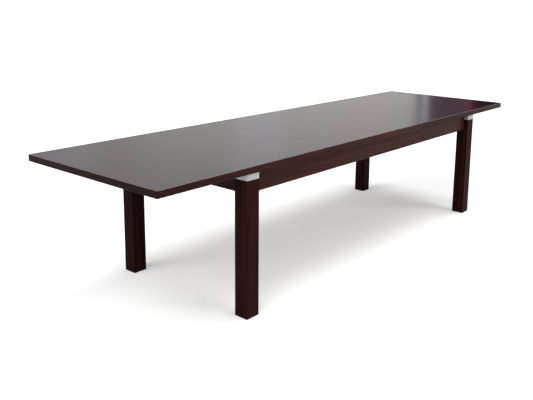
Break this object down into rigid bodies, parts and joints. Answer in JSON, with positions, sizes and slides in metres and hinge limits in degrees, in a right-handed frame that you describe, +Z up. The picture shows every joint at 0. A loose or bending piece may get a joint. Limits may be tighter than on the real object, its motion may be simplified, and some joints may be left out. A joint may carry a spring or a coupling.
{
  "type": "extending dining table",
  "caption": "Extending dining table in dark wood with square legs, silver collars and aprons; its top halves slide apart on guide channels and lift-out leaves fill the gap.",
  "frame": {"origin": "on the floor, below the middle of the extended top", "axes": "+X along the table to the right, +Y to the back, +Z up"},
  "size_m": [3.4418, 1, 0.78],
  "materials": {
    "dark_wood_top": "satin lacquer on dark stain",
    "dark_wood_legs": "satin lacquer on dark stain",
    "dark_wood_aprons": "satin lacquer on dark stain",
    "plain_beech": "clear lacquer",
    "silver_collar": "satin brushed",
    "channel_aluminium": "mill finish",
    "zinc_steel": "zinc plated",
    "catch_steel": "zinc plated",
    "white_nylon": "moulded",
    "dark_plastic": "moulded",
    "felt": "pressed felt"
  },
  "bodies": {
    "frame": {"leg_front_left": "dark_wood_legs", "leg_front_right": "dark_wood_legs", "leg_back_left": "dark_wood_legs", "leg_back_right": "dark_wood_legs", "collar_front_left": "silver_collar", "collar_front_right": "silver_collar", "collar_back_left": "silver_collar", "collar_back_right": "silver_collar", "foot_glide_front_left": "dark_plastic", "foot_glide_front_right": "dark_plastic", "foot_glide_back_left": "dark_plastic", "foot_glide_back_right": "dark_plastic", "corner_plate_front_left": "zinc_steel", "corner_plate_front_right": "zinc_steel", "corner_plate_back_left": "zinc_steel", "corner_plate_back_right": "zinc_steel", "leg_bolts": "zinc_steel", "leg_nuts": "zinc_steel", "apron_front": "dark_wood_aprons", "apron_back": "dark_wood_aprons", "apron_left": "dark_wood_aprons", "apron_right": "dark_wood_aprons", "glide_strip_front": "felt", "glide_strip_back": "felt", "glide_strip_left": "felt", "glide_strip_right": "felt", "guide_channel_front": "channel_aluminium", "guide_channel_back": "channel_aluminium", "channel_screws": "zinc_steel", "channel_stops": "dark_plastic", "cross_rail_left": "plain_beech", "cross_rail_middle": "plain_beech", "cross_rail_right": "plain_beech"},
    "left_half": {"left_half_panel": "dark_wood_top", "left_half_runner_front": "plain_beech", "left_half_runner_back": "plain_beech", "left_half_runner_screws": "zinc_steel", "left_half_shoes": "white_nylon", "left_half_catch_bases": "catch_steel"},
    "right_half": {"right_half_panel": "dark_wood_top", "right_half_runner_front": "plain_beech", "right_half_runner_back": "plain_beech", "right_half_runner_screws": "zinc_steel", "right_half_shoes": "white_nylon", "right_half_catch_bases": "catch_steel"},
    "leaf_left": {"leaf_left_panel": "dark_wood_top", "leaf_left_battens": "plain_beech", "leaf_left_keepers": "catch_steel", "leaf_left_catch_bases": "catch_steel"},
    "leaf_right": {"leaf_right_panel": "dark_wood_top", "leaf_right_battens": "plain_beech", "leaf_right_keepers": "catch_steel"},
    "catch_left_front": {"catch_lever_left_front": "catch_steel"},
    "catch_left_back": {"catch_lever_left_back": "catch_steel"},
    "catch_middle_front": {"catch_lever_middle_front": "catch_steel"},
    "catch_middle_back": {"catch_lever_middle_back": "catch_steel"},
    "catch_right_front": {"catch_lever_right_front": "catch_steel"},
    "catch_right_back": {"catch_lever_right_back": "catch_steel"}
  },
  "joints": [
    {"name": "left_half_slide", "type": "slide", "parent": "frame", "child": "left_half", "axis": [-1, 0, 0], "range_m": [0, 0.045]},
    {"name": "right_half_slide", "type": "slide", "parent": "frame", "child": "right_half", "axis": [1, 0, 0], "range_m": [0, 0.145]},
    {"name": "leaf_left_lift", "type": "slide", "parent": "frame", "child": "leaf_left", "axis": [0, 0, 1], "range_m": [0, 0.3]},
    {"name": "leaf_right_lift", "type": "slide", "parent": "frame", "child": "leaf_right", "axis": [0, 0, 1], "range_m": [0, 0.3]},
    {"name": "catch_left_front_swing", "type": "hinge", "parent": "left_half", "child": "catch_left_front", "pos_m": [-0.5026, -0.22, 0.7402], "axis": [0, 0, -1], "range_deg": [0, 90]},
    {"name": "catch_left_back_swing", "type": "hinge", "parent": "left_half", "child": "catch_left_back", "pos_m": [-0.5026, 0.22, 0.7402], "axis": [0, 0, -1], "range_deg": [0, 90]},
    {"name": "catch_middle_front_swing", "type": "hinge", "parent": "leaf_left", "child": "catch_middle_front", "pos_m": [-0.032, -0.22, 0.7402], "axis": [0, 0, -1], "range_deg": [0, 90]},
    {"name": "catch_middle_back_swing", "type": "hinge", "parent": "leaf_left", "child": "catch_middle_back", "pos_m": [-0.032, 0.22, 0.7402], "axis": [0, 0, -1], "range_deg": [0, 90]},
    {"name": "catch_right_front_swing", "type": "hinge", "parent": "right_half", "child": "catch_right_front", "pos_m": [0.5026, -0.22, 0.7402], "axis": [0, 0, -1], "range_deg": [0, 90]},
    {"name": "catch_right_back_swing", "type": "hinge", "parent": "right_half", "child": "catch_right_back", "pos_m": [0.5026, 0.22, 0.7402], "axis": [0, 0, -1], "range_deg": [0, 90]}
  ]
}
